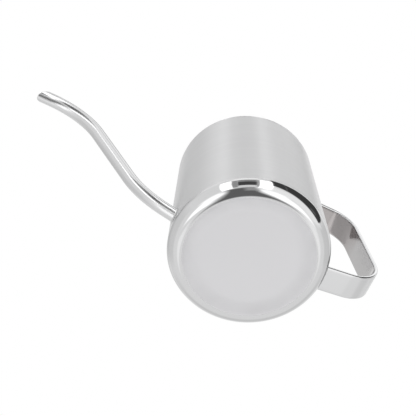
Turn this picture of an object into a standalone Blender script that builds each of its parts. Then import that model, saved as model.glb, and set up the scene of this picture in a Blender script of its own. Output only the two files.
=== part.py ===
"""Gooseneck pouring kettle: a drawn steel pot with a thin swan-neck spout, a strap handle and a lift-off lid.

Metres, +Z up. The origin is on the pot's axis, on the plane that it stands on. The spout points along +X
and the handle along -X. Each object in the collection "gooseneck_kettle" is one physical piece.
"""

import math

import bmesh
import bpy
from mathutils import Matrix, Vector

# Fits
SEAT_GAP = 0.0003
LID_CLEARANCE = 0.0006

# Pot
POT_DIAMETER = 0.0800
MOUTH_DIAMETER = 0.0717
POT_HEIGHT = 0.0886
POT_WALL = 0.0008
HEEL_RADIUS = 0.0073
FOOT_WIDTH = 0.0014
PANEL_RECESS = 0.0004
TURN_STEPS = 96

# Spout
SPOUT_DIAMETER = 0.0069
SPOUT_WALL = 0.0006
SPOUT_ROOT_HEIGHT = 0.0136
SPOUT_ROOT_LENGTH = 0.0060
SPOUT_INSERT = 0.0014
SPOUT_ROOT_ANGLE = 26.0
SPOUT_RISER_ANGLE = 61.3
SPOUT_TIP_ANGLE = 7.0
SPOUT_LOWER_BEND = 0.0450
SPOUT_RISER_LENGTH = 0.0397
SPOUT_UPPER_BEND = 0.0367
SPOUT_TIP_LENGTH = 0.0040
SPOUT_MOUTH_SLANT = 45.0

# Handle strap, as the corners of its centre line before they are rounded
STRAP_WIDTH = 0.0137
STRAP_THICKNESS = 0.0021
STRAP_TOP_HEIGHT = 0.0785
STRAP_TOP_CORNER = (0.0599, 0.0754)
STRAP_LOW_CORNER = (0.0720, 0.0127)
STRAP_FOOT_HEIGHT = 0.0086
STRAP_TOP_BEND = 0.0153
STRAP_LOW_BEND = 0.0183
STRAP_EDGE = 0.0009

# Weld beads
BEAD_RADIUS = 0.0005
BEAD_CORNERS = 5
BEAD_STEP = 0.0015

# Lid
LID_SHEET = 0.0008
LID_OVERLAP = 0.0002
LID_FLANGE = 0.0052
LID_DOME = 0.0030
COLLAR_DEPTH = 0.0085
COLLAR_FLANGE = 0.0032
VENT_DIAMETER = 0.0025
VENT_RADIUS = 0.0215

# Knob, its screw and washer
KNOB_DIAMETER = 0.0170
KNOB_NECK = 0.0084
KNOB_SEAT = 0.0110
KNOB_HEIGHT = 0.0150
SCREW_DIAMETER = 0.0036
SCREW_HEAD = 0.0072
SCREW_HEAD_HEIGHT = 0.0022
SCREW_GRIP = 0.0080
SCREW_SLOT = 0.0011
WASHER_DIAMETER = 0.0100
WASHER_THICKNESS = 0.0008


def polar(centre, radius, degrees):
    """The point on a circle at an angle from +X towards +Z."""
    angle = math.radians(degrees)
    return (centre[0] + radius * math.cos(angle), centre[1] + radius * math.sin(angle))


def arc(centre, radius, start, end, count):
    """Points along an arc, both ends included, with angles in degrees."""
    return [polar(centre, radius, start + (end - start) * i / (count - 1)) for i in range(count)]


def heel(inset):
    """The pot's heel, inset from its outer surface: centre, radius and the angle where the wall leaves it."""
    centre = (POT_DIAMETER / 2 - HEEL_RADIUS, HEEL_RADIUS)
    radius = HEEL_RADIUS
    across = MOUTH_DIAMETER / 2 - centre[0]
    up = POT_HEIGHT - centre[1]
    lean = math.atan2(up, across) - math.acos(radius / math.hypot(across, up))
    return centre, radius - inset, math.degrees(lean)


WALL_LEAN = math.radians(heel(0)[2])


def wall_radius(height, inset=0.0):
    """The radius of the pot's straight wall at a height, inset along the wall's normal."""
    return (
        MOUTH_DIAMETER / 2
        + (POT_HEIGHT - height) * math.tan(WALL_LEAN)
        - inset / math.cos(WALL_LEAN)
    )


def turn_path(start, legs):
    """A centre line in the XZ plane from straight legs ("line", length) and bends ("bend", radius, end angle)."""
    points = [start]
    angle = 0.0
    for leg in legs:
        here = points[-1]
        if leg[0] == "head":
            angle = leg[1]
        elif leg[0] == "line":
            points.append(polar(here, leg[1], angle))
        else:
            side = 90.0 if leg[2] > angle else -90.0
            centre = polar(here, leg[1], angle + side)
            count = max(4, round(abs(leg[2] - angle) / 3.5))
            points += arc(centre, leg[1], angle - side, leg[2] - side, count)[1:]
            angle = leg[2]
    return points


def rounded_corner(before, corner, after, radius, count):
    """Points of the bend that replaces a corner of a polyline in the XZ plane."""
    a = (Vector(before) - Vector(corner)).normalized()
    b = (Vector(after) - Vector(corner)).normalized()
    half = a.angle(b) / 2
    centre = Vector(corner) + (a + b).normalized() * radius / math.sin(half)
    first = Vector(corner) + a * radius / math.tan(half) - centre
    last = Vector(corner) + b * radius / math.tan(half) - centre
    start = math.degrees(math.atan2(first.y, first.x))
    sweep = math.degrees(math.atan2(last.y, last.x)) - start
    sweep = (sweep + 180.0) % 360.0 - 180.0
    return arc(centre, radius, start, start + sweep, count)


def offset_line(points, distance):
    """A polyline in the XZ plane moved sideways, to the left of its direction."""
    moved = []
    for i, point in enumerate(points):
        ahead = Vector(points[min(i + 1, len(points) - 1)])
        behind = Vector(points[max(i - 1, 0)])
        along = (ahead - behind).normalized()
        moved.append((point[0] - along.y * distance, point[1] + along.x * distance))
    return moved


def clear_scene():
    """Empties the startup scene."""
    for obj in list(bpy.data.objects):
        bpy.data.objects.remove(obj, do_unlink=True)


def collection(name, helper=False):
    """A new collection in the scene. A helper's objects aren't part of the kettle."""
    made = bpy.data.collections.new(name)
    made.hide_render = helper
    bpy.context.scene.collection.children.link(made)
    return made


def material(name, colour, roughness):
    """A plain metal."""
    made = bpy.data.materials.new(name)
    made.use_nodes = True
    shader = made.node_tree.nodes["Principled BSDF"]
    shader.inputs["Base Color"].default_value = (*colour, 1.0)
    shader.inputs["Metallic"].default_value = 1.0
    shader.inputs["Roughness"].default_value = roughness
    return made


clear_scene()
PARTS = collection("gooseneck_kettle")
CUTTERS = collection("cutters", helper=True)
STEEL = (0.60, 0.59, 0.58)


def part(name, data, roughness):
    """A piece of the kettle, with its own material."""
    obj = bpy.data.objects.new(name, data)
    obj.data.materials.append(material(name + "_steel", STEEL, roughness))
    PARTS.objects.link(obj)
    return obj


def cutter(name, data):
    """A helper whose shape is taken out of a piece."""
    obj = bpy.data.objects.new(name, data)
    obj.hide_render = True
    obj.display_type = "WIRE"
    CUTTERS.objects.link(obj)
    return obj


def cut(obj, tool):
    """Takes the tool's shape out of the object."""
    modifier = obj.modifiers.new("cut_" + tool.name, "BOOLEAN")
    modifier.operation = "DIFFERENCE"
    modifier.solver = "EXACT"
    modifier.object = tool


def profile_mesh(name, points, ring):
    """A line of points in the XZ plane. A ring's ends are joined."""
    mesh = bpy.data.meshes.new(name)
    edges = [(i, i + 1) for i in range(len(points) - 1)]
    if ring:
        edges.append((len(points) - 1, 0))
    mesh.from_pydata([(x, 0.0, z) for x, z in points], edges, [])
    return mesh


def turn(obj, steps):
    """Turns an object's profile about Z."""
    screw = obj.modifiers.new("turn", "SCREW")
    screw.axis = "Z"
    screw.angle = math.tau
    screw.screw_offset = 0.0
    screw.steps = steps
    screw.render_steps = steps
    screw.use_merge_vertices = True
    screw.merge_threshold = 0.00001
    screw.use_smooth_shade = False


def turned(name, points, roughness, steps=TURN_STEPS, ring=True):
    """A turned piece. Its profile runs down the outer side."""
    obj = part(name, profile_mesh(name, points, ring), roughness)
    turn(obj, steps)
    return obj


def tube_mesh(name, points, radius, sides, closed=False, caps=True):
    """The mesh of a round bar along a line of points."""
    curve = bpy.data.curves.new(name + "_line", "CURVE")
    curve.dimensions = "3D"
    curve.twist_mode = "MINIMUM"
    spline = curve.splines.new("POLY")
    spline.points.add(len(points) - 1)
    for place, point in zip(spline.points, points):
        place.co = (*point, 1.0)
    spline.use_cyclic_u = closed
    curve.bevel_depth = radius
    curve.bevel_resolution = sides // 2 - 2
    curve.use_fill_caps = caps and not closed
    return baked(name, curve)


def baked(name, curve):
    """A curve's mesh, with the points where its faces meet made one."""
    holder = bpy.data.objects.new(name + "_holder", curve)
    CUTTERS.objects.link(holder)
    bpy.context.view_layer.update()
    graph = bpy.context.evaluated_depsgraph_get()
    mesh = bpy.data.meshes.new_from_object(holder.evaluated_get(graph))
    mesh.name = name
    bpy.data.objects.remove(holder, do_unlink=True)
    work = bmesh.new()
    work.from_mesh(mesh)
    bmesh.ops.remove_doubles(work, verts=work.verts, dist=0.000005)
    bmesh.ops.recalc_face_normals(work, faces=work.faces)
    work.to_mesh(mesh)
    work.free()
    return mesh


def bar_cutter(name, radius, start, end):
    """A straight round cutter between two points."""
    return cutter(name, tube_mesh(name, [start, end], radius, 32))


def mouth_cutter(tip):
    """A block that cuts the spout's mouth on a slant, so that its lower lip stands ahead."""
    side = SPOUT_DIAMETER * 4
    slant = SPOUT_TIP_ANGLE + SPOUT_MOUTH_SLANT
    x, z = polar(tip, side / 2, slant)
    place = Matrix.Translation((x, 0.0, z)) @ Matrix.Rotation(-math.radians(slant), 4, "Y")
    work = bmesh.new()
    bmesh.ops.create_cube(work, size=side, matrix=place)
    mesh = bpy.data.meshes.new("mouth_block")
    work.to_mesh(mesh)
    work.free()
    return cutter("mouth_block", mesh)


def wall_point(origin, direction, standoff):
    """Where a line that heads into the pot is this far from the wall's outer surface."""
    near = 0.0
    far = 0.060
    for _ in range(48):
        middle = (near + far) / 2
        at = origin + direction * middle
        clear = math.hypot(at.x, at.y) - wall_radius(at.z, -standoff)
        if clear > 0.0:
            near = middle
        else:
            far = middle
    return origin + direction * near


def section_loop(width, height, corner):
    """A rounded rectangle about the origin, as (across, up) pairs."""
    places = []
    for quarter in range(4):
        sign_a = 1 if quarter in (0, 3) else -1
        sign_b = 1 if quarter in (0, 1) else -1
        middle = (sign_a * (width / 2 - corner), sign_b * (height / 2 - corner))
        start = 90.0 * quarter
        places += arc(middle, corner, start, start + 90.0, BEAD_CORNERS)
    return places


def weld_bead(name, origin, direction, loop):
    """A weld bead on the pot's wall, around a piece that meets it along a direction."""
    across = Vector((0.0, 1.0, 0.0))
    up = direction.cross(across).normalized()
    line = []
    for here, ahead in zip(loop, loop[1:] + loop[:1]):
        steps = max(1, round(math.dist(here, ahead) / BEAD_STEP))
        for i in range(steps):
            a, b = Vector(here).lerp(Vector(ahead), i / steps)
            start = origin + across * a + up * b
            line.append(wall_point(start, direction, SEAT_GAP + BEAD_RADIUS))
    return part(name, tube_mesh(name, line, BEAD_RADIUS, 8, closed=True), 0.25)


def pot_profile():
    """The pot's section: inside from its centre up to the rim, then down the outside and in to its centre."""
    centre, radius, lean = heel(0)
    floor = PANEL_RECESS + POT_WALL
    foot = centre[0]
    inner = [(0.0, floor)]
    inner += arc(centre, HEEL_RADIUS - floor, -90.0, lean, 9)
    rim = (MOUTH_DIAMETER / 2 - POT_WALL / 2, POT_HEIGHT - POT_WALL / 2)
    inner += arc(rim, POT_WALL / 2, 180.0 + lean, lean, 6)
    outer = arc(centre, radius, lean, -90.0, 12)
    outer.append((foot - FOOT_WIDTH, 0.0))
    outer.append((foot - FOOT_WIDTH - PANEL_RECESS, PANEL_RECESS))
    outer.append((0.0, PANEL_RECESS))
    return inner + outer


def build_spout():
    """The spout tube and the weld at its root. Returns the cutter of its hole in the pot."""
    root_x = wall_radius(SPOUT_ROOT_HEIGHT)
    reach = SPOUT_INSERT + POT_WALL
    start = polar((root_x, SPOUT_ROOT_HEIGHT), -reach, SPOUT_ROOT_ANGLE)
    line = turn_path(
        start,
        [
            ("head", SPOUT_ROOT_ANGLE),
            ("line", reach + SPOUT_ROOT_LENGTH),
            ("bend", SPOUT_LOWER_BEND, SPOUT_RISER_ANGLE),
            ("line", SPOUT_RISER_LENGTH),
            ("bend", SPOUT_UPPER_BEND, SPOUT_TIP_ANGLE),
            ("line", SPOUT_TIP_LENGTH),
        ],
    )
    tip = line[-1]
    line[-1] = polar(tip, SPOUT_DIAMETER, SPOUT_TIP_ANGLE)
    points = [(x, 0.0, z) for x, z in line]
    mesh = tube_mesh("spout_tube", points, SPOUT_DIAMETER / 2, 24, caps=False)
    tube = part("spout_tube", mesh, 0.15)
    shell = tube.modifiers.new("wall", "SOLIDIFY")
    shell.thickness = SPOUT_WALL
    shell.offset = -1.0
    shell.use_even_offset = True
    cut(tube, mouth_cutter(tip))

    inward = -Vector((*polar((0.0, 0.0), 1.0, SPOUT_ROOT_ANGLE), 0.0)).xzy
    outside = Vector((root_x, 0.0, SPOUT_ROOT_HEIGHT)) - inward * 0.012
    round_loop = arc((0.0, 0.0), SPOUT_DIAMETER / 2 + SEAT_GAP + BEAD_RADIUS, 0.0, 345.0, 24)
    weld_bead("spout_weld", outside, inward, round_loop)
    inside = outside + inward * 0.024
    return bar_cutter("spout_hole", SPOUT_DIAMETER / 2 + SEAT_GAP, outside, inside)


def build_handle():
    """The handle strap and the weld at each of its ends."""
    top = (-wall_radius(STRAP_TOP_HEIGHT), STRAP_TOP_HEIGHT)
    foot = (-wall_radius(STRAP_FOOT_HEIGHT), STRAP_FOOT_HEIGHT)
    upper = (-STRAP_TOP_CORNER[0], STRAP_TOP_CORNER[1])
    lower = (-STRAP_LOW_CORNER[0], STRAP_LOW_CORNER[1])
    top_way = (Vector(top) - Vector(upper)).normalized()
    foot_way = (Vector(foot) - Vector(lower)).normalized()
    sink = STRAP_THICKNESS * 2
    line = [tuple(Vector(top) + top_way * sink)]
    line += rounded_corner(top, upper, lower, STRAP_TOP_BEND, 15)
    line += rounded_corner(upper, lower, foot, STRAP_LOW_BEND, 15)
    line.append(tuple(Vector(foot) + foot_way * sink))
    left = offset_line(line, STRAP_THICKNESS / 2)
    right = offset_line(line, -STRAP_THICKNESS / 2)
    outline = left + right[::-1]

    curve = bpy.data.curves.new("handle_outline", "CURVE")
    curve.dimensions = "2D"
    curve.fill_mode = "BOTH"
    spline = curve.splines.new("POLY")
    spline.points.add(len(outline) - 1)
    for place, (x, z) in zip(spline.points, outline):
        place.co = (x, z, 0.0, 1.0)
    spline.use_cyclic_u = True
    curve.extrude = STRAP_WIDTH / 2 - STRAP_EDGE
    curve.bevel_depth = STRAP_EDGE
    curve.bevel_resolution = 2
    curve.offset = -STRAP_EDGE
    mesh = baked("handle_strap", curve)
    for vertex in mesh.vertices:
        x, z, y = vertex.co
        vertex.co = (x, -y, z)
    strap = part("handle_strap", mesh, 0.15)
    keep_out = cutter("pot_envelope", profile_mesh("pot_envelope", envelope_profile(), False))
    turn(keep_out, TURN_STEPS)
    cut(strap, keep_out)

    reach = 2 * (SEAT_GAP + BEAD_RADIUS)
    loop = section_loop(STRAP_WIDTH + reach, STRAP_THICKNESS + reach, STRAP_EDGE + reach / 2)
    for name, end, way in (("handle_top_weld", top, top_way), ("handle_foot_weld", foot, foot_way)):
        direction = Vector((way.x, 0.0, way.y))
        outside = Vector((end[0], 0.0, end[1])) - direction * 0.010
        weld_bead(name, outside, direction, loop)


def envelope_profile():
    """The pot's outer wall as a solid cone that stands a seat gap clear of it."""
    low = 0.0040
    high = POT_HEIGHT + 0.004
    return [
        (0.0, high),
        (wall_radius(high, -SEAT_GAP), high),
        (wall_radius(low, -SEAT_GAP), low),
        (0.0, low),
    ]


def build_lid():
    """The lid's cover and collar, its knob, and the screw and washer under it."""
    edge = MOUTH_DIAMETER / 2 - LID_OVERLAP
    seat = POT_HEIGHT + SEAT_GAP
    shoulder = edge - LID_FLANGE
    crown = seat + LID_DOME
    hub = WASHER_DIAMETER / 2 + 0.0015
    hole = SCREW_DIAMETER / 2 + SEAT_GAP
    lift = [hub + (shoulder - hub) * i / 6 for i in range(7)]
    dome = [(r, LID_DOME * (1.0 - ((r - hub) / (shoulder - hub)) ** 2)) for r in lift]
    under = [(hole, crown)] + [(r, seat + h) for r, h in dome] + [(edge - LID_SHEET / 2, seat)]
    over = arc((edge - LID_SHEET / 2, seat + LID_SHEET / 2), LID_SHEET / 2, -60.0, 60.0, 4)
    over.append((edge - LID_SHEET / 2, seat + LID_SHEET))
    over += [(r, seat + LID_SHEET + h) for r, h in reversed(dome)]
    over.append((hole, crown + LID_SHEET))
    cover = turned("lid_cover", (under + over)[::-1], 0.3)
    vent = bar_cutter(
        "vent", VENT_DIAMETER / 2, (VENT_RADIUS, 0.0, seat - 0.004), (VENT_RADIUS, 0.0, crown + 0.006)
    )
    cut(cover, vent)

    skirt = wall_radius(POT_HEIGHT, POT_WALL) - LID_CLEARANCE
    top = seat - SEAT_GAP
    low = top - COLLAR_DEPTH
    turned(
        "lid_collar",
        [
            (skirt - COLLAR_FLANGE, top),
            (skirt - LID_SHEET / 2, top),
            (skirt, top - LID_SHEET / 2),
            (skirt, low),
            (skirt - LID_SHEET, low),
            (skirt - LID_SHEET, top - LID_SHEET),
            (skirt - COLLAR_FLANGE, top - LID_SHEET),
        ],
        0.3,
    )

    base = crown + LID_SHEET + SEAT_GAP
    peak = base + KNOB_HEIGHT
    bore = SCREW_DIAMETER / 2 + SEAT_GAP
    bore_top = base + SCREW_GRIP + SEAT_GAP
    brow = (KNOB_DIAMETER / 2 - 0.0028, peak - 0.0038)
    knob = [(0.0, bore_top), (0.0, peak)]
    knob += arc(brow, 0.0028, 75.0, -50.0, 8)
    knob.append((KNOB_NECK / 2, base + 0.0045))
    knob.append((KNOB_NECK / 2, base + 0.0024))
    knob.append((KNOB_SEAT / 2, base + 0.0010))
    knob.append((KNOB_SEAT / 2, base))
    knob += [(bore, base), (bore, bore_top)]
    turned("lid_knob", knob[1:] + knob[:1], 0.12, 64, ring=False)

    washer_top = crown - SEAT_GAP
    washer_low = washer_top - WASHER_THICKNESS
    turned(
        "knob_washer",
        [
            (hole, washer_top),
            (WASHER_DIAMETER / 2, washer_top),
            (WASHER_DIAMETER / 2, washer_low),
            (hole, washer_low),
        ],
        0.3,
        48,
    )
    head_top = washer_low - SEAT_GAP
    head_low = head_top - SCREW_HEAD_HEIGHT
    round_in = 0.0007
    screw = turned(
        "knob_screw",
        [
            (0.0, base + SCREW_GRIP),
            (SCREW_DIAMETER / 2 - 0.0003, base + SCREW_GRIP),
            (SCREW_DIAMETER / 2, base + SCREW_GRIP - 0.0004),
            (SCREW_DIAMETER / 2, head_top),
            (SCREW_HEAD / 2, head_top),
            (SCREW_HEAD / 2, head_low + round_in),
            (SCREW_HEAD / 2 - round_in, head_low),
            (0.0, head_low),
        ],
        0.3,
        48,
        ring=False,
    )
    slot = bpy.data.meshes.new("slot")
    work = bmesh.new()
    bmesh.ops.create_cube(work, size=1.0)
    bmesh.ops.scale(work, verts=work.verts, vec=(SCREW_HEAD * 1.4, SCREW_SLOT, SCREW_HEAD_HEIGHT))
    bmesh.ops.translate(work, verts=work.verts, vec=(0.0, 0.0, head_low))
    work.to_mesh(slot)
    work.free()
    cut(screw, cutter("slot", slot))


def main():
    """Builds every piece of the kettle."""
    pot = turned("pot_shell", pot_profile(), 0.3, ring=False)
    cut(pot, build_spout())
    build_handle()
    build_lid()


main()
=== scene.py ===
"""Looks of the gooseneck kettle: finely turned and bent steel pieces on the CAD frame, in a light tent.

Every piece is modelled in metres in the row frame. +Z is up, the spout points along +X, the handle along -X.
"""

import logging  # noqa: E402
import math  # noqa: E402
from dataclasses import dataclass, field  # noqa: E402
from enum import Enum, IntEnum  # noqa: E402

import bmesh  # noqa: E402
import bpy  # noqa: E402
from mathutils import Matrix, Vector  # noqa: E402


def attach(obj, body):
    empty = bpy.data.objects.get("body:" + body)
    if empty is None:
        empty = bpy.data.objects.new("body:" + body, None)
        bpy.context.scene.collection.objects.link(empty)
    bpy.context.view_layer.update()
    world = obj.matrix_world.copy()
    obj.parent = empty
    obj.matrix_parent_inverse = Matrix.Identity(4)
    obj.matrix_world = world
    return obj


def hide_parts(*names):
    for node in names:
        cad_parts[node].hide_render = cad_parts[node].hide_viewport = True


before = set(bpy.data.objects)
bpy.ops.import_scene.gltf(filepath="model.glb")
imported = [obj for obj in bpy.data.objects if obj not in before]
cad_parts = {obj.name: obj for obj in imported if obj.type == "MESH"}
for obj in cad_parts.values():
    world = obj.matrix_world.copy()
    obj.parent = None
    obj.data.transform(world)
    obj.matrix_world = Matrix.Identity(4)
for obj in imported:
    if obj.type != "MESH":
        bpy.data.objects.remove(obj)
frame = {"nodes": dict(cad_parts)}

LOG = logging.getLogger("kettle")
Pair = tuple[float, float]
Colour = tuple[float, float, float]
Socket = bpy.types.NodeSocket

UP = Vector((0.0, 0.0, 1.0))
ACROSS = Vector((0.0, 1.0, 0.0))


class Lay(Enum):
    """Which way a brushed finish runs: around the axis on a wall, or in rings on a flat top."""

    WALL = "wall"
    RINGS = "rings"


class PotFace(IntEnum):
    """Material slots of the pot."""

    WALL = 0
    HEEL = 1
    PANEL = 2
    INSIDE = 3


class StrapFace(IntEnum):
    """Material slots of the handle's strap."""

    OUTER = 0
    INNER = 1


class Axes(Enum):
    """How a panel of the light tent is placed: by compass and height, or along the band under the camera."""

    COMPASS = "compass"
    BAND = "band"


class Graph:
    """A node tree with short calls for making and joining nodes."""

    def __init__(self, tree: bpy.types.NodeTree) -> None:
        """Wraps a tree."""
        self.tree = tree

    def node(self, kind: str, inputs: dict | None = None, **settings) -> bpy.types.Node:
        """Adds a node.

        Args:
            kind: the node's type name.
            inputs: values or sockets for its inputs, by name or index.
            settings: the node's own properties.

        Returns:
            The new node.
        """
        made = self.tree.nodes.new(kind)
        for name, value in settings.items():
            setattr(made, name, value)
        for key, value in (inputs or {}).items():
            self.feed(made.inputs[key], value)
        return made

    def feed(self, socket: Socket, value) -> None:
        """Links a socket to an input, or sets its value."""
        if isinstance(value, bpy.types.NodeSocket):
            self.tree.links.new(value, socket)
        else:
            socket.default_value = value

    def math(self, operation: str, *values, clamp: bool = False) -> Socket:
        """A Math node's result.

        Args:
            operation: the Math operation.
            values: its inputs in order.
            clamp: whether the result is kept from 0 to 1.

        Returns:
            The result's socket.
        """
        inputs = dict(enumerate(values))
        return self.node("ShaderNodeMath", inputs, operation=operation, use_clamp=clamp).outputs[0]

    def span(self, value, low: float, high: float, to_low: float, to_high: float) -> Socket:
        """A value's smooth change from one level to another over a span."""
        return self.node(
            "ShaderNodeMapRange",
            {0: value, 1: low, 2: high, 3: to_low, 4: to_high},
            interpolation_type="SMOOTHSTEP",
        ).outputs[0]

    def mix(self, mask, low, high) -> Socket:
        """A colour between two others."""
        made = self.node("ShaderNodeMix", data_type="RGBA")
        for index, value in ((0, mask), (6, low), (7, high)):
            self.feed(made.inputs[index], value)
        return made.outputs[2]

    def group(self, tree: bpy.types.NodeTree, inputs: dict) -> bpy.types.Node:
        """Places a node group, with values or sockets for its inputs."""
        made = self.node("ShaderNodeGroup", node_tree=tree)
        for key, value in inputs.items():
            self.feed(made.inputs[key], value)
        return made

    def noise(self, vector: Socket, scale: float, detail: float, roughness: float = 0.5) -> Socket:
        """A noise texture's value."""
        inputs = {"Vector": vector, "Scale": scale, "Detail": detail, "Roughness": roughness}
        return self.node("ShaderNodeTexNoise", inputs).outputs[0]


class Effects:
    """Shader node groups that several finishes share, each built once."""

    made: dict[str, bpy.types.NodeTree] = {}

    @classmethod
    def group(cls, name: str, inputs: list[tuple[str, str]], outputs: list[str]) -> Graph | None:
        """Starts a group.

        Args:
            name: the group's name.
            inputs: names and types of its inputs.
            outputs: names of its float outputs.

        Returns:
            Its graph, or None if it was built before.
        """
        if name in cls.made:
            return None
        tree = bpy.data.node_groups.new(name, "ShaderNodeTree")
        for label, kind in inputs:
            tree.interface.new_socket(label, in_out="INPUT", socket_type=kind)
        for label in outputs:
            tree.interface.new_socket(label, in_out="OUTPUT", socket_type="NodeSocketFloat")
        cls.made[name] = tree
        return Graph(tree)

    @classmethod
    def brushing(cls) -> bpy.types.NodeTree:
        """Fine grooves that run around an axis, with broad soft bands among them."""
        graph = cls.group(
            "brushing",
            [("Along", "NodeSocketFloat"), ("Around", "NodeSocketVector"), ("Pitch", "NodeSocketFloat")],
            ["Grooves", "Bands"],
        )
        if graph:
            source = graph.node("NodeGroupInput")
            drift = graph.node("ShaderNodeSeparateXYZ", {0: source.outputs["Around"]})
            rows = graph.math("DIVIDE", source.outputs["Along"], source.outputs["Pitch"])
            fine = graph.node(
                "ShaderNodeCombineXYZ",
                {
                    0: graph.math("MULTIPLY", drift.outputs[0], 26.0),
                    1: graph.math("MULTIPLY", drift.outputs[1], 26.0),
                    2: rows,
                },
            )
            broad = graph.node(
                "ShaderNodeCombineXYZ",
                {
                    0: graph.math("MULTIPLY", drift.outputs[0], 14.0),
                    1: graph.math("MULTIPLY", drift.outputs[1], 14.0),
                    2: graph.math("MULTIPLY", rows, 0.07),
                },
            )
            ends = {
                0: graph.noise(fine.outputs[0], 1.0, 3.0, 0.65),
                1: graph.noise(broad.outputs[0], 1.0, 2.0),
            }
            graph.node("NodeGroupOutput", ends)
        return cls.made["brushing"]

    @classmethod
    def handling(cls) -> bpy.types.NodeTree:
        """Traces of use: soft smears and scattered hair-fine scratches."""
        graph = cls.group(
            "handling",
            [("Place", "NodeSocketVector")],
            ["Smears", "Scratches"],
        )
        if graph:
            source = graph.node("NodeGroupInput")
            place = source.outputs["Place"]
            smears = graph.span(graph.noise(place, 42.0, 4.0, 0.6), 0.35, 0.75, 0.0, 1.0)
            bent = graph.node(
                "ShaderNodeMapping",
                {"Vector": place, "Rotation": (0.4, 0.7, 0.3), "Scale": (900.0, 60.0, 220.0)},
            )
            lines = graph.span(graph.noise(bent.outputs[0], 1.0, 1.0), 0.68, 0.8, 0.0, 1.0)
            graph.node("NodeGroupOutput", {0: smears, 1: lines})
        return cls.made["handling"]


@dataclass(frozen=True)
class Steel:
    """A bare stainless steel finish.

    Attributes:
        name: the material's name.
        colour: its reflection at normal incidence.
        roughness: how far it blurs a reflection.
    """

    name: str
    colour: Colour = (0.635, 0.636, 0.64)
    roughness: float = 0.08

    def start(self) -> tuple[bpy.types.Material, Graph, bpy.types.Node]:
        """Makes the material with its plain shader.

        Returns:
            The material, its graph and its shader node.
        """
        made = bpy.data.materials.new(self.name)
        made.use_nodes = True
        graph = Graph(made.node_tree)
        shader = made.node_tree.nodes["Principled BSDF"]
        shader.inputs["Metallic"].default_value = 1.0
        shader.inputs["Base Color"].default_value = (*self.colour, 1.0)
        shader.inputs["Roughness"].default_value = self.roughness
        return made, graph, shader

    def tone(self, graph: Graph, mask: Socket, shift: float) -> Socket:
        """The finish's colour, a little darker where a mask is low and lighter where it is high."""
        low = tuple(c * (1.0 - shift) for c in self.colour)
        high = tuple(min(1.0, c * (1.0 + shift)) for c in self.colour)
        return graph.mix(mask, (*low, 1.0), (*high, 1.0))


@dataclass(frozen=True)
class BrushedSteel(Steel):
    """Steel brushed while it turned, so that highlights spread across the grooves.

    Attributes:
        spread: how much further it blurs across the grooves than along them.
        pitch: the grooves' spacing.
        depth: the grooves' depth in the bump.
        lay: which way the grooves run.
    """

    roughness: float = 0.36
    spread: float = 0.85
    pitch: float = 0.00022
    depth: float = 0.000004
    lay: Lay = Lay.WALL

    def build(self) -> bpy.types.Material:
        """Makes the material."""
        made, graph, shader = self.start()
        place = graph.node("ShaderNodeTexCoord").outputs["Object"]
        parts = graph.node("ShaderNodeSeparateXYZ", {0: place})
        along = parts.outputs[2]
        if self.lay is Lay.RINGS:
            flat = graph.node("ShaderNodeVectorMath", {0: place, 1: (1.0, 1.0, 0.0)}, operation="MULTIPLY")
            along = graph.node("ShaderNodeVectorMath", {0: flat.outputs[0]}, operation="LENGTH").outputs[1]
        lines = graph.group(Effects.brushing(), {"Along": along, "Around": place, "Pitch": self.pitch})
        grooves, bands = lines.outputs["Grooves"], lines.outputs["Bands"]
        graph.feed(shader.inputs["Base Color"], self.tone(graph, graph.span(bands, 0.3, 0.7, 0.0, 1.0), 0.010))
        worn = graph.math("MULTIPLY_ADD", grooves, 0.10, self.roughness - 0.05)
        graph.feed(shader.inputs["Roughness"], worn)
        shader.inputs["Anisotropic"].default_value = self.spread
        shader.inputs["Anisotropic Rotation"].default_value = 0.25
        tangent = graph.node("ShaderNodeTangent", direction_type="RADIAL", axis="Z")
        graph.feed(shader.inputs["Tangent"], tangent.outputs[0])
        bump = graph.node("ShaderNodeBump", {"Height": grooves, "Strength": 0.35, "Distance": self.depth})
        graph.feed(shader.inputs["Normal"], bump.outputs[0])
        return made


@dataclass(frozen=True)
class PolishedSteel(Steel):
    """Buffed steel with faint smears and hairline scratches.

    Attributes:
        haze: how much rougher a smear is.
        rim: how much it reflects near grazing.
    """

    roughness: float = 0.06
    haze: float = 0.05
    rim: float = 0.7

    def build(self) -> bpy.types.Material:
        """Makes the material."""
        made, graph, shader = self.start()
        shader.inputs["Specular Tint"].default_value = (self.rim, self.rim, self.rim, 1.0)
        place = graph.node("ShaderNodeTexCoord").outputs["Object"]
        use = graph.group(Effects.handling(), {"Place": place})
        smeared = graph.math("MULTIPLY_ADD", use.outputs["Smears"], self.haze, self.roughness)
        graph.feed(
            shader.inputs["Roughness"],
            graph.math("MULTIPLY_ADD", use.outputs["Scratches"], 0.08, smeared),
        )
        graph.feed(shader.inputs["Base Color"], self.tone(graph, use.outputs["Smears"], 0.012))
        return made


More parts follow.
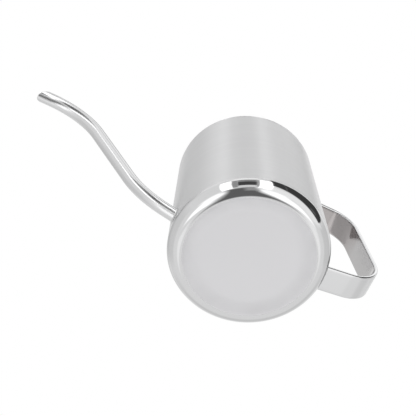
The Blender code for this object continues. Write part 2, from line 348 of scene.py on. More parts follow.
@dataclass(frozen=True)
class PaintedShadeSteel(Steel):
    """Steel with painted shade for the strap's inner faces: darker and warmer higher up, lighter lower down.

    Attributes:
        bright: its colour lower down, where the painted shade is lighter.
        low: the height under which it is bright.
        high: the height over which the painted shade is full.
    """

    # the painted shade's colour: darker and warmer than the bare steel
    colour: Colour = (0.46, 0.435, 0.43)
    roughness: float = 0.12
    bright: Colour = (0.565, 0.557, 0.556)
    low: float = 0.054
    high: float = 0.068

    def build(self) -> bpy.types.Material:
        """Makes the material."""
        made, graph, shader = self.start()
        place = graph.node("ShaderNodeTexCoord").outputs["Object"]
        use = graph.group(Effects.handling(), {"Place": place})
        height = graph.node("ShaderNodeSeparateXYZ", {0: place}).outputs[2]
        uneven = graph.math("MULTIPLY_ADD", use.outputs["Smears"], 0.006, height)
        # painted shade and warm painted reflection from the pot's wall: darker higher up, its edge made uneven by
        # the smears
        shade_mask = graph.span(uneven, self.low, self.high, 0.0, 1.0)
        graph.feed(shader.inputs["Base Color"], graph.mix(shade_mask, (*self.bright, 1.0), (*self.colour, 1.0)))
        worn = graph.math("MULTIPLY_ADD", use.outputs["Smears"], 0.06, self.roughness)
        graph.feed(
            shader.inputs["Roughness"],
            graph.math("MULTIPLY_ADD", use.outputs["Scratches"], 0.06, worn),
        )
        return made


@dataclass(frozen=True)
class SatinSteel(Steel):
    """Steel left matt by fine blasting, with painted shade darkening it towards the bottom panel's edge.

    Attributes:
        grain: the size of its grains.
        depth: how deep they are in the bump.
        worn: between which distances from the pot's axis the painted shade comes in.
    """

    roughness: float = 0.42
    grain: float = 0.00025
    depth: float = 0.000006
    # radii over which painted shade darkens the panel towards its outer edge
    worn: Pair = (0.0220, 0.0330)

    def build(self) -> bpy.types.Material:
        """Makes the material."""
        made, graph, shader = self.start()
        place = graph.node("ShaderNodeTexCoord").outputs["Object"]
        grains = graph.noise(place, 1.0 / self.grain, 2.0, 0.6)
        use = graph.group(Effects.handling(), {"Place": place})
        flat = graph.node("ShaderNodeVectorMath", {0: place, 1: (1.0, 1.0, 0.0)}, operation="MULTIPLY").outputs[0]
        reach = graph.node("ShaderNodeVectorMath", {0: flat}, operation="LENGTH").outputs["Value"]
        # painted shade: 13% darker towards the panel's outer edge, made patchy by the smear pattern
        patchy = graph.math("MULTIPLY_ADD", use.outputs["Smears"], 0.7, 0.3)
        edge = graph.math("MULTIPLY", graph.span(reach, *self.worn, 0.0, 1.0), patchy)
        edge_shade_colour = tuple(c * 0.87 for c in self.colour)
        graph.feed(
            shader.inputs["Base Color"], graph.mix(edge, self.tone(graph, grains, 0.02), (*edge_shade_colour, 1.0))
        )
        graph.feed(
            shader.inputs["Roughness"],
            graph.math("MULTIPLY_ADD", use.outputs["Smears"], -0.05, self.roughness + 0.02),
        )
        bump = graph.node("ShaderNodeBump", {"Height": grains, "Strength": 0.3, "Distance": self.depth})
        graph.feed(shader.inputs["Normal"], bump.outputs[0])
        return made


class Bench:
    """Mesh steps that several pieces share."""

    @staticmethod
    def line(points: list[Pair]) -> tuple[bmesh.types.BMesh, list[bmesh.types.BMVert]]:
        """A profile in the XZ plane.

        Args:
            points: its corners as (radius, height).

        Returns:
            The bmesh and the corners' vertices in order.
        """
        work = bmesh.new()
        corners = [work.verts.new((x, 0.0, z)) for x, z in points]
        for a, b in zip(corners, corners[1:]):
            work.edges.new((a, b))
        return work, corners

    @staticmethod
    def ease(work: bmesh.types.BMesh, corner: bmesh.types.BMVert, radius: float, segments: int) -> None:
        """Rounds a corner of a profile with an arc of a radius."""
        a, b = ((edge.other_vert(corner).co - corner.co).normalized() for edge in corner.link_edges)
        bmesh.ops.bevel(
            work,
            geom=[corner],
            offset=radius / math.tan(a.angle(b) / 2),
            offset_type="OFFSET",
            segments=segments,
            profile=0.5,
            affect="VERTICES",
            material=-1,
            clamp_overlap=False,
        )

    @staticmethod
    def turn(work: bmesh.types.BMesh, steps: int) -> None:
        """Turns a profile about Z into a closed skin."""
        bmesh.ops.spin(
            work,
            geom=work.verts[:] + work.edges[:],
            cent=(0.0, 0.0, 0.0),
            axis=UP,
            angle=math.tau,
            steps=steps,
            use_merge=True,
        )
        bmesh.ops.remove_doubles(work, verts=work.verts, dist=1e-6)
        bmesh.ops.recalc_face_normals(work, faces=work.faces)

    @staticmethod
    def draw(work: bmesh.types.BMesh, ring: list, run: Vector, cuts: int = 1) -> list:
        """Draws a ring of edges along a straight run.

        Args:
            work: the mesh.
            ring: the edges at its end.
            run: the way and length to draw.
            cuts: how many rings it adds.

        Returns:
            The edges at the new end.
        """
        for _ in range(cuts):
            drawn = bmesh.ops.extrude_edge_only(work, edges=ring)["geom"]
            fresh = {g for g in drawn if isinstance(g, bmesh.types.BMVert)}
            bmesh.ops.translate(work, verts=list(fresh), vec=run / cuts)
            ring = [g for g in drawn if isinstance(g, bmesh.types.BMEdge) and set(g.verts) <= fresh]
        return ring

    @staticmethod
    def bend(work: bmesh.types.BMesh, ring: list, centre: Vector, axis: Vector, turn: float) -> list:
        """Draws a ring of edges around a bend.

        Args:
            work: the mesh.
            ring: the edges at its end.
            centre: the bend's centre.
            axis: the axis to turn about.
            turn: how far, in radians.

        Returns:
            The edges at the new end.
        """
        made = bmesh.ops.spin(
            work,
            geom=ring + Bench.ends(ring),
            cent=centre,
            axis=axis,
            angle=turn,
            steps=max(8, round(math.degrees(abs(turn)) / 1.8)),
        )["geom_last"]
        return [g for g in made if isinstance(g, bmesh.types.BMEdge)]

    @staticmethod
    def ends(ring: list) -> list:
        """The vertices of some edges."""
        return list({vert for edge in ring for vert in edge.verts})

    @staticmethod
    def piece(
        name: str,
        work: bmesh.types.BMesh,
        materials: list[bpy.types.Material],
        body: str,
        nodes: list[str],
        crease: float = 35.0,
    ) -> bpy.types.Object:
        """Makes an object of a bmesh, which is freed, and puts it on the frame.

        Args:
            name: the piece's name.
            work: its mesh.
            materials: its material slots.
            body: the CAD body that it rides on.
            nodes: the CAD nodes that it stands for.
            crease: edges sharper than this stay sharp, in degrees.

        Returns:
            The object.
        """
        mesh = bpy.data.meshes.new(name)
        work.to_mesh(mesh)
        work.free()
        for material in materials:
            mesh.materials.append(material)
        mesh.shade_smooth()
        mesh.set_sharp_from_angle(angle=math.radians(crease))
        made = bpy.data.objects.new(name, mesh)
        bpy.context.scene.collection.objects.link(made)
        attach(made, body)
        if nodes:
            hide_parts(*nodes)
        LOG.info("%s: %d faces on %s", name, len(mesh.polygons), body)
        return made


@dataclass
class Pot:
    """The drawn pot: brushed wall, polished heel and foot ring, satin bottom panel."""

    radius: float = 0.0400
    mouth: float = 0.03585
    height: float = 0.0886
    wall: float = 0.0008
    heel: float = 0.0073
    foot: float = 0.0014
    recess: float = 0.0004
    dish: float = 0.0060
    polish_line: float = 0.0064
    hold: float = 0.0012
    steps: int = 240

    @property
    def lean(self) -> float:
        """The wall's lean from upright, in radians."""
        across = self.mouth - (self.radius - self.heel)
        up = self.height - self.heel
        return math.atan2(up, across) - math.acos(self.heel / math.hypot(across, up))

    def radius_at(self, height: float, standoff: float = 0.0) -> float:
        """The wall's outer radius at a height, a standoff further out along its normal."""
        cone = self.mouth + (self.height - height) * math.tan(self.lean)
        return cone + standoff / math.cos(self.lean)

    def meet(self, origin: Vector, way: Vector, standoff: float = 0.0) -> Vector:
        """Where a line into the pot comes within a standoff of its wall.

        Args:
            origin: a point outside the wall.
            way: the line's direction.
            standoff: the distance from the wall.

        Returns:
            The point.
        """
        near, far = 0.0, 0.06
        for _ in range(48):
            middle = (near + far) / 2
            at = origin + way * middle
            if math.hypot(at.x, at.y) > self.radius_at(at.z, standoff):
                near = middle
            else:
                far = middle
        return origin + way * near

    def build(self) -> bpy.types.Object:
        """Models and dresses the pot.

        Returns:
            Its object.
        """
        centre = self.radius - self.heel
        toe = self.radius_at(0.0)
        floor = self.recess + self.wall
        inner_toe = self.radius_at(floor, -self.wall)
        inner_rim = self.radius_at(self.height, -self.wall)
        top = self.height
        work, corners = Bench.line(
            [
                (0.0, floor),
                (inner_toe, floor),
                (inner_rim, top),
                (self.mouth, top),
                (self.radius_at(top - self.hold), top - self.hold),
                (self.radius_at(self.heel + self.hold), self.heel + self.hold),
                (toe, 0.0),
                (centre - self.foot, 0.0),
                (centre - self.foot - self.dish, self.recess),
                (0.0, self.recess),
            ]
        )
        Bench.ease(work, corners[1], self.heel - floor, 10)
        Bench.ease(work, corners[2], self.wall * 0.42, 4)
        Bench.ease(work, corners[3], self.wall * 0.42, 4)
        Bench.ease(work, corners[6], self.heel, 28)
        Bench.ease(work, corners[7], 0.0150, 5)
        Bench.ease(work, corners[8], 0.0300, 6)
        Bench.turn(work, self.steps)
        for face in work.faces:
            face.material_index = self.face_kind(face)
        brushed = BrushedSteel("brushed_wall").build()
        polished = PolishedSteel("polished_heel", roughness=0.05).build()
        satin = SatinSteel("satin_panel", colour=(0.702, 0.698, 0.711)).build()
        inside = BrushedSteel("brushed_inside", roughness=0.42, spread=0.6).build()
        return Bench.piece("pot", work, [brushed, polished, satin, inside], "kettle", ["pot_shell"])

    def face_kind(self, face: bmesh.types.BMFace) -> PotFace:
        """Which finish a face of the pot has."""
        middle = face.calc_center_median()
        reach = math.hypot(middle.x, middle.y)
        outward = face.normal.x * middle.x + face.normal.y * middle.y
        if face.normal.z < -0.5 and middle.z < 0.001 and reach < self.radius - self.heel + 0.0002:
            return PotFace.PANEL
        if middle.z < self.polish_line and (outward > 0.0 or face.normal.z < -0.2 or middle.z < 0.001):
            return PotFace.HEEL
        if outward > 0.0 or middle.z > self.height - self.wall:
            return PotFace.WALL
        return PotFace.INSIDE


def facing(way: Vector) -> Matrix:
    """The turn that takes a section in the XY plane across a direction in the XZ plane, its X along +Y."""
    return Matrix((ACROSS, way.cross(ACROSS), way)).transposed().to_4x4()


@dataclass
class Weld:
    """A smooth weld around a section that meets the pot's wall.

    Attributes:
        pot: the pot that it lies on.
        end: where the section's middle meets the wall.
        way: the section's direction into the pot.
        half: half the section's width and thickness.
        size: how far the weld reaches up the section and out on the wall.
    """

    pot: Pot
    end: Vector
    way: Vector
    half: Pair
    size: float
    bury: float = 0.00008

    def build(self, work: bmesh.types.BMesh) -> bmesh.types.BMesh:
        """Draws the weld out of a section.

        Args:
            work: the section's edges in the XY plane.

        Returns:
            The same mesh, now the weld.
        """
        first = ring = work.edges[:]
        rings = [(first, -self.bury, self.size)]
        for share in (0.08, 0.25, 0.5, 0.78, 1.0):
            ring = Bench.draw(work, ring, Vector())
            rings.append((ring, self.size * share, self.size * (1.0 - math.sqrt(1.0 - (1.0 - share) ** 2))))
        for grow in (self.size - self.bury, -self.bury):
            ring = Bench.draw(work, ring, Vector())
            rings.append((ring, grow, -self.bury))
        for edges, grow, _ in rings:
            wide, thick = ((half + grow) / half for half in self.half)
            bmesh.ops.scale(work, verts=Bench.ends(edges), vec=(wide, thick, 1.0))
        bmesh.ops.bridge_loops(work, edges=first + ring)
        start = self.end - self.way * 0.012
        bmesh.ops.transform(work, matrix=Matrix.Translation(start) @ facing(self.way), verts=work.verts)
        for edges, _, height in rings:
            for vert in Bench.ends(edges):
                vert.co = self.pot.meet(vert.co, self.way, height)
        bmesh.ops.recalc_face_normals(work, faces=work.faces)
        return work


@dataclass
class Spout:
    """The swan-neck tube and the weld at its root."""

    pot: Pot
    outside: float = 0.00345
    wall: float = 0.0006
    root_height: float = 0.0136
    root_length: float = 0.0060
    insert: float = 0.0014
    root_angle: float = 26.0
    riser_angle: float = 61.3
    tip_angle: float = 7.0
    lower_bend: float = 0.0450
    riser: float = 0.0397
    upper_bend: float = 0.0367
    tip: float = 0.0040
    slant: float = 45.0
    hold: float = 0.0003
    sides: int = 48
    fillet: float = 0.0009

    def way(self, degrees: float) -> Vector:
        """A direction in the XZ plane at an angle from +X."""
        return Vector((math.cos(math.radians(degrees)), 0.0, math.sin(math.radians(degrees))))

    @property
    def root(self) -> Vector:
        """Where the centre line meets the pot's wall."""
        return Vector((self.pot.radius_at(self.root_height), 0.0, self.root_height))

    def tube(self) -> bmesh.types.BMesh:
        """The hollow tube, from its end inside the pot to its tip."""
        work = bmesh.new()
        reach = self.insert + self.pot.wall
        start = self.root - self.way(self.root_angle) * reach
        turn = UP.rotation_difference(self.way(self.root_angle)).to_matrix().to_4x4()
        bmesh.ops.create_circle(
            work, segments=self.sides, radius=self.outside, matrix=Matrix.Translation(start) @ turn
        )
        at = self.root + self.way(self.root_angle) * self.root_length
        ring = Bench.draw(work, work.edges[:], at - start, 4)
        bends = (
            (self.root_angle, self.riser_angle, self.lower_bend, self.riser, 6),
            (self.riser_angle, self.tip_angle, self.upper_bend, self.tip - self.hold, 1),
        )
        for before, after, radius, run, cuts in bends:
            side = math.copysign(90.0, after - before)
            centre = at + self.way(before + side) * radius
            ring = Bench.bend(work, ring, centre, -ACROSS, math.radians(after - before))
            ring = Bench.draw(work, ring, self.way(after) * run, cuts)
            at = centre + self.way(after - side) * radius + self.way(after) * run
        ahead, above = self.way(self.tip_angle), self.way(self.tip_angle + 90.0)
        Bench.draw(work, ring, ahead * self.hold)
        bmesh.ops.recalc_face_normals(work, faces=work.faces)
        bmesh.ops.solidify(work, geom=work.faces[:], thickness=self.wall)
        bmesh.ops.recalc_face_normals(work, faces=work.faces)
        for vert in work.verts:
            if (vert.co - at).dot(ahead) > -1e-6:
                vert.co -= ahead * (vert.co - at).dot(above) * math.tan(math.radians(self.slant))
        lips = [e for e in work.edges if e.is_manifold and e.calc_face_angle() > 1.0]
        bmesh.ops.bevel(
            work, geom=lips, offset=self.wall * 0.4, segments=3, profile=0.5, affect="EDGES", material=-1
        )
        return work

    def weld(self) -> bmesh.types.BMesh:
        """The smooth weld where the tube leaves the wall."""
        work = bmesh.new()
        bmesh.ops.create_circle(work, segments=72, radius=self.outside)
        return Weld(self.pot, self.root, -self.way(self.root_angle), (self.outside, self.outside), self.fillet).build(work)

    def build(self) -> list[bpy.types.Object]:
        """Models and dresses the spout.

        Returns:
            The tube and its weld.
        """
        polished = PolishedSteel("polished_spout", roughness=0.18).build()
        bead = PolishedSteel("weld_seam", roughness=0.16, colour=(0.57, 0.57, 0.572)).build()
        return [
            Bench.piece("spout", self.tube(), [polished], "kettle", ["spout_tube"]),
            Bench.piece("spout_seam", self.weld(), [bead], "kettle", ["spout_weld"], crease=80.0),
        ]


@dataclass
class Handle:
    """The bent strap and the welds at its two ends."""

    pot: Pot
    width: float = 0.0137
    thickness: float = 0.0021
    top_height: float = 0.0785
    top_corner: Pair = (0.0599, 0.0754)
    low_corner: Pair = (0.0720, 0.0127)
    foot_height: float = 0.0086
    top_bend: float = 0.0153
    low_bend: float = 0.0183
    edge: float = 0.0009
    fillet: float = 0.0006

    def corners(self) -> list[Vector]:
        """The centre line's four corners, from the pot's wall round to the wall again."""
        return [
            Vector((-self.pot.radius_at(self.top_height), 0.0, self.top_height)),
            Vector((-self.top_corner[0], 0.0, self.top_corner[1])),
            Vector((-self.low_corner[0], 0.0, self.low_corner[1])),
            Vector((-self.pot.radius_at(self.foot_height), 0.0, self.foot_height)),
        ]

    def section(self) -> bmesh.types.BMesh:
        """The strap's section in the XY plane, with rounded edges: its width along X."""
        work = bmesh.new()
        bmesh.ops.create_grid(work, x_segments=1, y_segments=1, size=0.5)
        bmesh.ops.scale(work, verts=work.verts, vec=(self.width, self.thickness, 1.0))
        bmesh.ops.bevel(
            work, geom=work.verts[:], offset=self.edge, segments=8, profile=0.5, affect="VERTICES", material=-1
        )
        bmesh.ops.delete(work, geom=work.faces[:], context="FACES_ONLY")
        flats = [e for e in work.edges if e.calc_length() > self.width / 2]
        bmesh.ops.subdivide_edges(work, edges=flats, cuts=11)
        return work

    def strap(self) -> bmesh.types.BMesh:
        """The strap: its section drawn out, bent twice and fitted to the wall at both ends."""
        top, upper, lower, foot = self.corners()
        work = self.section()
        out = (upper - top).normalized()
        at = top - out * 0.001
        bmesh.ops.transform(work, matrix=Matrix.Translation(at) @ facing(out), verts=work.verts)
        ring = first = work.edges[:]
        for corner, ahead, radius in ((upper, lower, self.top_bend), (lower, foot, self.low_bend)):
            into, away = (corner - at).normalized(), (ahead - corner).normalized()
            turn = into.angle(away)
            tangent = radius * math.tan(turn / 2)
            ring = Bench.draw(work, ring, corner - into * tangent - at, 5)
            inner = (away - into * into.dot(away)).normalized()
            centre = corner - into * tangent + inner * radius
            ring = Bench.bend(work, ring, centre, into.cross(inner).normalized(), turn)
            at = corner + away * tangent
        last = (foot - at).normalized()
        ring = Bench.draw(work, ring, foot + last * 0.001 - at, 5)
        for end, way in ((first, -out), (ring, last)):
            for vert in Bench.ends(end):
                vert.co = self.pot.meet(vert.co - way * 0.01, way, -0.00005)
        bmesh.ops.holes_fill(work, edges=first + ring)
        bmesh.ops.recalc_face_normals(work, faces=work.faces)
        middle = (top + upper + lower + foot) / 4
        # faces turned towards the pot's wall take the material with painted shade
        for face in work.faces:
            inward = (middle - face.calc_center_median()).normalized().dot(face.normal)
            if inward > 0.3 and abs(face.normal.y) < 0.1:
                face.material_index = StrapFace.INNER
        return work

    def weld(self, end: Vector, way: Vector) -> bmesh.types.BMesh:
        """The thin weld around one of the strap's ends."""
        return Weld(self.pot, end, way, (self.width / 2, self.thickness / 2), self.fillet).build(self.section())

    def build(self) -> list[bpy.types.Object]:
        """Models and dresses the handle.

        Returns:
            The strap and its welds.
        """
        top, upper, lower, foot = self.corners()
        polished = PolishedSteel("polished_strap", roughness=0.10, haze=0.06).build()
        # material for the inner faces: painted shade and warm painted reflection from the pot's wall
        inner = PaintedShadeSteel("strap_painted_shade").build()
        bead = PolishedSteel("strap_seam", roughness=0.16, colour=(0.57, 0.57, 0.572)).build()
        upper_weld = self.weld(top, (top - upper).normalized())
        lower_weld = self.weld(foot, (foot - lower).normalized())
        return [
            Bench.piece("handle", self.strap(), [polished, inner], "kettle", ["handle_strap"]),
            Bench.piece("handle_top_seam", upper_weld, [bead], "kettle", ["handle_top_weld"], crease=80.0),
            Bench.piece("handle_foot_seam", lower_weld, [bead], "kettle", ["handle_foot_weld"], crease=80.0),
        ]


@dataclass
class Lid:
    """The lift-off lid: domed cover, locating collar and turned knob on its screw."""

    pot: Pot
    sheet: float = 0.0008
    gap: float = 0.0003
    overlap: float = 0.0002
    flange: float = 0.0052
    dome: float = 0.0030
    hub: float = 0.0065
    hole: float = 0.0021
    vent: Pair = (0.0215, 0.00125)
    collar_depth: float = 0.0085
    collar_flange: float = 0.0032
    clearance: float = 0.0006
    knob: Pair = (0.0085, 0.0150)
    neck: float = 0.0042
    seat: float = 0.0055
    bore: float = 0.0083

    @property
    def rest(self) -> float:
        """The height of the cover's underside on the rim."""
        return self.pot.height + self.gap

    def cover(self) -> bmesh.types.BMesh:
        """The pressed cover."""
        edge = self.pot.mouth - self.overlap
        shoulder = edge - self.flange
        low, high = self.rest, self.rest + self.sheet
        rise = [(i / 14, self.dome * (1.0 - (i / 14) ** 2)) for i in range(15)]
        under = [(self.hub + (shoulder - self.hub) * s, low + h) for s, h in rise]
        over = [(self.hub + (shoulder - self.hub) * s, high + h) for s, h in reversed(rise)]
        points = [(self.hole, low + self.dome), *under, (edge, low), (edge, high), *over]
        points.append((self.hole, high + self.dome))
        work, corners = Bench.line(points)
        work.edges.new((corners[-1], corners[0]))
        brim = [v for v in corners if abs(v.co.x - edge) < 1e-6]
        for corner in brim:
            Bench.ease(work, corner, self.sheet * 0.42, 4)
        Bench.turn(work, 192)
        return work

    def pierced(self, cover: bpy.types.Object) -> None:
        """Cuts the steam vent through the cover."""
        work = bmesh.new()
        bmesh.ops.create_cone(
            work,
            cap_ends=True,
            segments=40,
            radius1=self.vent[1],
            radius2=self.vent[1],
            depth=0.02,
            matrix=Matrix.Translation((self.vent[0], 0.0, self.rest)),
        )
        mesh = bpy.data.meshes.new("vent_drill")
        work.to_mesh(mesh)
        work.free()
        drill = bpy.data.objects.new("vent_drill", mesh)
        bpy.context.scene.collection.objects.link(drill)
        cut = cover.modifiers.new("vent", "BOOLEAN")
        cut.solver = "EXACT"
        cut.operation = "DIFFERENCE"
        cut.object = drill
        bpy.context.view_layer.update()
        graph = bpy.context.evaluated_depsgraph_get()
        solid = bpy.data.meshes.new_from_object(cover.evaluated_get(graph))
        cover.modifiers.clear()
        cover.data = solid
        solid.shade_smooth()
        solid.set_sharp_from_angle(angle=math.radians(35.0))
        bpy.data.objects.remove(drill, do_unlink=True)

    def collar(self) -> bmesh.types.BMesh:
        """The ring under the cover that keeps it in the mouth."""
        skirt = self.pot.radius_at(self.pot.height, -self.pot.wall) - self.clearance
        top = self.rest - self.gap
        low = top - self.collar_depth
        flange = skirt - self.collar_flange
        work, corners = Bench.line(
            [
                (flange, top),
                (skirt, top),
                (skirt, low),
                (skirt - self.sheet, low),
                (skirt - self.sheet, top - self.sheet),
                (flange, top - self.sheet),
            ]
        )
        work.edges.new((corners[-1], corners[0]))
        Bench.ease(work, corners[1], 0.0007, 5)
        Bench.ease(work, corners[2], self.sheet * 0.4, 4)
        Bench.ease(work, corners[3], self.sheet * 0.4, 4)
        Bench.turn(work, 192)
        return work

    def grip(self) -> bmesh.types.BMesh:
        """The turned knob, bored from below for its screw."""
        base = self.rest + self.dome + self.sheet + self.gap
        radius, height = self.knob
        peak = base + height
        work, corners = Bench.line(
            [
                (0.0, peak),
                (radius * 0.5, peak - 0.0003),
                (radius, peak - 0.0010),
                (radius, peak - 0.0062),
                (self.neck, base + 0.0050),
                (self.neck, base + 0.0016),
                (self.seat, base + 0.0016),
                (self.seat, base),
                (self.hole, base),
                (self.hole, base + self.bore),
                (0.0, base + self.bore),
            ]
        )
        Bench.ease(work, corners[2], 0.0022, 8)
        Bench.ease(work, corners[3], 0.0018, 8)
        Bench.ease(work, corners[4], 0.0022, 8)
        Bench.ease(work, corners[5], 0.0008, 5)
        Bench.ease(work, corners[6], 0.0006, 5)
        Bench.turn(work, 128)
        return work

    def build(self) -> list[bpy.types.Object]:
        """Models and dresses the lid. The screw and washer stay the CAD's own.

        Returns:
            Its pieces.
        """
        top = BrushedSteel("brushed_lid", roughness=0.34, spread=0.8, lay=Lay.RINGS).build()
        ring = BrushedSteel("brushed_collar", roughness=0.38, spread=0.7).build()
        polished = PolishedSteel("polished_knob", roughness=0.07).build()
        cover = Bench.piece("lid_top", self.cover(), [top], "lid", ["lid_cover"])
        self.pierced(cover)
        zinc = PolishedSteel("bright_screw", roughness=0.2, haze=0.1, colour=(0.56, 0.56, 0.57)).build()
        for name in ("knob_screw", "knob_washer"):
            node = frame["nodes"][name]
            node.data.materials.clear()
            node.data.materials.append(zinc)
        return [
            cover,
            Bench.piece("lid_ring", self.collar(), [ring], "lid", ["lid_collar"]),
            Bench.piece("knob", self.grip(), [polished], "lid", ["lid_knob"]),
        ]


@dataclass(frozen=True)
class Panel:
    """A patch of the light tent, seen from the kettle.

    Attributes:
        azimuth: its middle, in degrees from +X towards +Y.
        half: half its width, in degrees.
        low: its lower edge's elevation.
        high: its upper edge's elevation.
        level: how bright it is.
        soft: how wide its sides fade, in degrees.
        fade: how wide its lower and upper edges fade.
        slope: how much its lower edge rises per degree of azimuth.
        axes: what its azimuth and elevation are measured along.
    """

    azimuth: float
    half: float
    low: float
    high: float
    level: float
    soft: float = 3.0
    fade: float = 3.0
    slope: float = 0.0
    axes: Axes = Axes.COMPASS


@dataclass
class Tent:
    """The floor and the light tent around the kettle."""

    level: float = 1.0
    panels: list[Panel] = field(
        default_factory=lambda: [
            Panel(240.0, 45.0, -16.0, 8.0, 0.87, 25.0, 10.0),
            Panel(265.0, 65.0, 18.0, 80.0, 1.12, 20.0, 14.0),
            Panel(327.0, 26.0, -20.0, 48.0, 0.86, 14.0, 10.0),
            Panel(243.0, 29.0, 27.0, 58.0, 1.45, 10.0, 14.0),
            Panel(243.0, 62.0, 50.0, 120.0, 1.00, 24.0, 10.0),
            Panel(243.0, 26.0, 53.0, 73.0, 0.60, 16.0, 8.0),
            Panel(176.0, 18.0, -26.0, 34.0, 0.84, 8.0, 8.0),
            Panel(337.0, 35.0, 30.0, 120.0, 0.80, 20.0, 10.0),
            Panel(22.0, 15.0, 36.0, 120.0, 1.13, 14.0, 10.0),
            Panel(62.0, 16.0, 30.0, 120.0, 1.24, 12.0, 8.0),
            Panel(130.0, 31.0, 36.0, 120.0, 1.58, 12.0, 10.0),
            Panel(176.0, 16.0, 30.0, 120.0, 1.24, 12.0, 10.0),
            Panel(240.0, 200.0, 74.0, 120.0, 0.70, 3.0, 14.0),
            Panel(293.0, 16.0, -64.0, -46.0, 1.20, 8.0, 6.0),
            Panel(190.0, 30.0, -66.0, -50.0, 1.22, 12.0, 8.0),
            Panel(4.0, 34.0, -68.0, -46.0, 1.70, 10.0, 8.0, 0.20),
            Panel(128.0, 42.0, -78.0, -50.0, 1.65, 10.0, 9.0),
            Panel(103.0, 17.0, -60.0, -28.0, 1.60, 10.0, 8.0),
            Panel(126.0, 34.0, -45.0, -12.0, 1.20, 8.0, 8.0),
            Panel(18.0, 14.0, -50.0, -38.0, 1.60, 10.0, 8.0),
            Panel(0.0, 12.5, -16.0, 52.0, 0.16, 7.0, 9.0, 0.0, Axes.BAND),
            Panel(8.0, 4.5, 28.0, 52.0, 0.42, 5.0, 9.0, 0.0, Axes.BAND),
            Panel(42.0, 6.5, -34.0, 30.0, 2.2, 1.5, 5.0),
            Panel(85.5, 7.5, -38.0, 30.0, 2.2, 1.5, 5.0),
            Panel(51.5, 3.2, -30.0, 30.0, 0.40, 1.5, 5.0),
            Panel(76.5, 1.8, -30.0, 30.0, 0.50, 1.5, 5.0),
            Panel(65.0, 10.0, -33.0, -18.0, 0.95, 1.5, 4.0),
            Panel(65.0, 10.0, -19.0, 30.0, 0.34, 1.5, 2.0),
            Panel(65.0, 10.0, -18.0, 12.0, 0.08, 1.5, 5.0),
            Panel(123.5, 31.5, -8.5, 47.0, 0.06, 1.5, 5.0, -0.27),
            Panel(107.5, 0.8, -4.0, 47.0, 0.14, 1.0, 5.0),
            Panel(142.0, 4.0, -6.0, 6.0, 0.14, 3.0, 5.0),
        ]
    )
    band: float = 57.0

    def mask(self) -> bpy.types.NodeTree:
        """The node group that gives a panel's mask from a direction's azimuth and elevation."""
        names = ["Azimuth", "Elevation", "Middle", "Half", "Low", "High", "Slope", "Soft", "Fade"]
        graph = Effects.group("tent_panel", [(n, "NodeSocketFloat") for n in names], ["Mask"])
        if graph:
            source = graph.node("NodeGroupInput").outputs
            apart = graph.math("WRAP", graph.math("SUBTRACT", source["Azimuth"], source["Middle"]), 180.0, -180.0)
            near = graph.math("ABSOLUTE", apart)
            sides = graph.math("DIVIDE", graph.math("SUBTRACT", source["Half"], near), source["Soft"])
            edge = graph.math("MULTIPLY_ADD", apart, source["Slope"], source["Low"])
            under = graph.math("DIVIDE", graph.math("SUBTRACT", source["Elevation"], edge), source["Fade"])
            over = graph.math("DIVIDE", graph.math("SUBTRACT", source["High"], source["Elevation"]), source["Fade"])
            inside = graph.math("MINIMUM", sides, graph.math("MINIMUM", under, over))
            graph.node("NodeGroupOutput", {0: graph.math("ADD", inside, 0.5, clamp=True)})
        return Effects.made["tent_panel"]

    def light(self) -> None:
        """Builds the world: white to the camera, the tent's panels to the kettle."""
        world = bpy.data.worlds.new("light_tent")
        bpy.context.scene.world = world
        world.use_nodes = True
        graph = Graph(world.node_tree)
        parts = graph.node("ShaderNodeSeparateXYZ", {0: graph.node("ShaderNodeTexCoord").outputs["Generated"]})
        x, y, z = parts.outputs
        azimuth = graph.math("DEGREES", graph.math("ARCTAN2", y, x))
        elevation = graph.math("DEGREES", graph.math("ARCSINE", z))
        aim = math.radians(self.band)
        ahead = graph.math("ADD", graph.math("MULTIPLY", x, math.cos(aim)), graph.math("MULTIPLY", y, math.sin(aim)))
        aside = graph.math("SUBTRACT", graph.math("MULTIPLY", y, math.cos(aim)), graph.math("MULTIPLY", x, math.sin(aim)))
        down = graph.math("MULTIPLY", z, -1.0)
        places = {
            Axes.COMPASS: (azimuth, elevation),
            Axes.BAND: (
                graph.math("DEGREES", graph.math("ARCSINE", aside)),
                graph.math("DEGREES", graph.math("ARCTAN2", ahead, down)),
            ),
        }
        level = self.level
        for panel in self.panels:
            across, along = places[panel.axes]
            patch = graph.group(
                self.mask(),
                {
                    "Azimuth": across,
                    "Elevation": along,
                    "Middle": panel.azimuth,
                    "Half": panel.half,
                    "Low": panel.low,
                    "High": panel.high,
                    "Slope": panel.slope,
                    "Soft": panel.soft,
                    "Fade": panel.fade,
                },
            )
            blend = graph.node("ShaderNodeMix", data_type="FLOAT")
            for index, value in ((0, patch.outputs[0]), (2, level), (3, panel.level)):
                graph.feed(blend.inputs[index], value)
            level = blend.outputs[0]
        seen = graph.node("ShaderNodeLightPath").outputs["Is Camera Ray"]
        blend = graph.node("ShaderNodeMix", data_type="FLOAT")
        for index, value in ((0, seen), (2, level), (3, 1.0)):
            graph.feed(blend.inputs[index], value)
        background = world.node_tree.nodes["Background"]
        background.inputs["Color"].default_value = (1.0, 1.0, 1.0, 1.0)
        graph.feed(background.inputs["Strength"], blend.outputs[0])

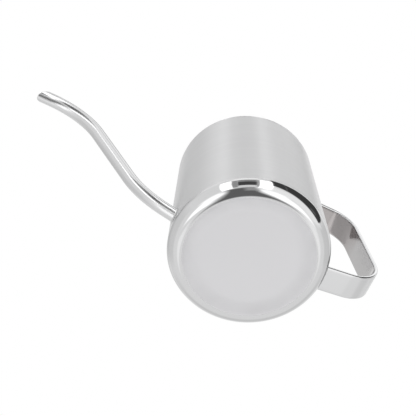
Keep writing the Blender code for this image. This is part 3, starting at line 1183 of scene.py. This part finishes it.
    def floor(self) -> bpy.types.Object:
        """A pale floor that shows from above only, so that the kettle can be seen from below."""
        work = bmesh.new()
        bmesh.ops.create_circle(work, cap_ends=True, segments=96, radius=3.0)
        bmesh.ops.translate(work, verts=work.verts, vec=(0.0, 0.0, -0.0002))
        mesh = bpy.data.meshes.new("floor")
        work.to_mesh(mesh)
        work.free()
        made = bpy.data.objects.new("floor", mesh)
        bpy.context.scene.collection.objects.link(made)
        material = bpy.data.materials.new("pale_floor")
        material.use_nodes = True
        graph = Graph(material.node_tree)
        shader = material.node_tree.nodes["Principled BSDF"]
        shader.inputs["Base Color"].default_value = (0.86, 0.86, 0.86, 1.0)
        shader.inputs["Roughness"].default_value = 0.9
        shader.inputs["Specular IOR Level"].default_value = 0.1
        clear = graph.node("ShaderNodeBsdfTransparent")
        seen = graph.node("ShaderNodeLightPath").outputs["Is Camera Ray"]
        front = graph.math("SUBTRACT", 1.0, graph.node("ShaderNodeNewGeometry").outputs["Backfacing"])
        place = graph.node("ShaderNodeTexCoord").outputs["Object"]
        reach = graph.node("ShaderNodeVectorMath", {0: place}, operation="LENGTH").outputs["Value"]
        near = graph.span(reach, 0.05, 0.60, 1.0, 0.0)
        shown = graph.math("MULTIPLY", graph.math("MULTIPLY", seen, front), near)
        blend = graph.node("ShaderNodeMixShader", {0: shown, 1: clear.outputs[0], 2: shader.outputs[0]})
        output = material.node_tree.nodes["Material Output"]
        graph.feed(output.inputs["Surface"], blend.outputs[0])
        mesh.materials.append(material)
        return made


@dataclass(frozen=True)
class PhotoCamera:
    """The photograph's camera, as fitted to the pot's outline.

    Attributes:
        azimuth: where it stands, in degrees: 0 looks along +Y.
        elevation: its height above the horizon, in degrees.
        roll: its turn about its own axis, in degrees.
        distance: how far it is from the target.
        target: the point that it was fitted about.
        pixel: where the target falls in the frame.
        focal: its focal length in pixels.
        frame: the frame's side in pixels.
    """

    azimuth: float = 152.735
    elevation: float = -61.973
    roll: float = -3.072
    distance: float = 0.68292
    target: tuple[float, float, float] = (0.0, 0.0, 0.039024)
    pixel: Pair = (247.22, 220.093)
    focal: float = 1343.03
    frame: float = 416.0

    def build(self) -> bpy.types.Object:
        """Makes the scene's camera.

        Returns:
            The camera object.
        """
        turn, tip, roll = (math.radians(v) for v in (self.azimuth, self.elevation, self.roll))
        back = Vector((math.sin(turn) * math.cos(tip), -math.cos(turn) * math.cos(tip), math.sin(tip)))
        right = (-back).cross(UP).normalized()
        up = right.cross(-back)
        rolled = right * math.cos(roll) + up * math.sin(roll)
        lifted = up * math.cos(roll) - right * math.sin(roll)
        middle = self.frame / 2
        aim = Vector((self.pixel[0] - middle, middle - self.pixel[1], -self.focal)).normalized()
        swing = Vector((0.0, 0.0, -1.0)).rotation_difference(aim).to_matrix()
        pose = (swing @ Matrix((rolled, lifted, back))).transposed().to_4x4()
        pose.translation = Vector(self.target) + back * self.distance
        data = bpy.data.cameras.new("photo_camera")
        data.sensor_width = 36.0
        data.lens = self.focal / self.frame * 36.0
        data.clip_start = 0.01
        made = bpy.data.objects.new("photo_camera", data)
        made.matrix_world = pose
        bpy.context.scene.collection.objects.link(made)
        bpy.context.scene.camera = made
        return made


def main() -> None:
    """Builds the scene."""
    logging.basicConfig(level=logging.INFO, format="%(name)s: %(message)s")
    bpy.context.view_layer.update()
    bpy.context.scene.view_settings.view_transform = "Standard"
    PhotoCamera().build()
    tent = Tent()
    tent.light()
    tent.floor()
    pot = Pot()
    pot.build()
    Spout(pot).build()
    Handle(pot).build()
    Lid(pot).build()


if __name__ == "__main__":
    main()
